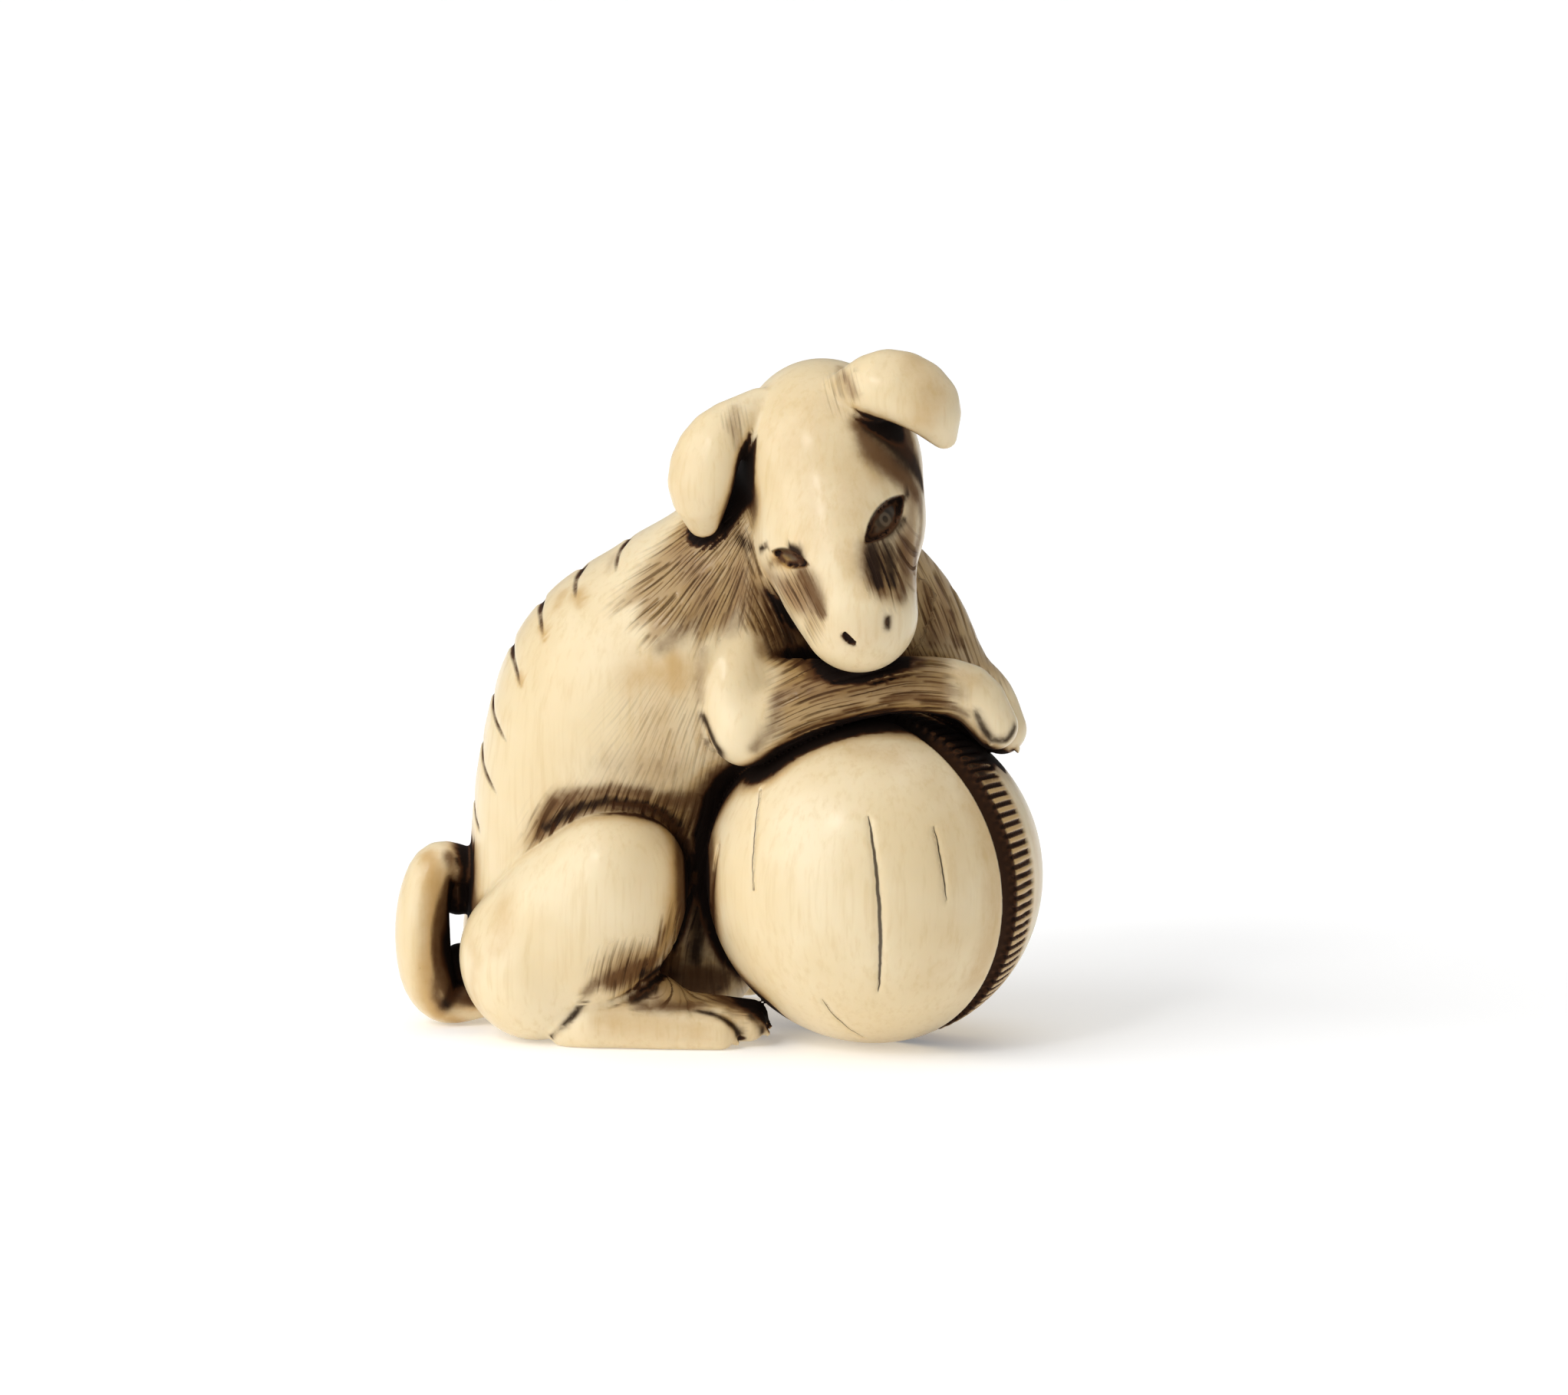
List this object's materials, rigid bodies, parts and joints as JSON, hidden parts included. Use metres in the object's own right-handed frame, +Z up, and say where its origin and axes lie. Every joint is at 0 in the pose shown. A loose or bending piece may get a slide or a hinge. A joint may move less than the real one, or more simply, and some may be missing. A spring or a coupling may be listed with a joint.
{
  "type": "netsuke",
  "caption": "Small ivory toggle carved as a puppy that sits behind a laced ball, lays its forelegs over it and rests its chin on them.",
  "frame": {"origin": "centre of the box around the carving, on the surface it stands on", "axes": "+X from the rump to the ball, -Y towards the side with the face, +Z up"},
  "size_m": [0.0352, 0.0238, 0.0378],
  "materials": {
    "ivory": "old polished ivory with brown stain in the carved hair and hollows"
  },
  "bodies": {
    "root": {"puppy_on_ball": "ivory"}
  },
  "joints": []
}
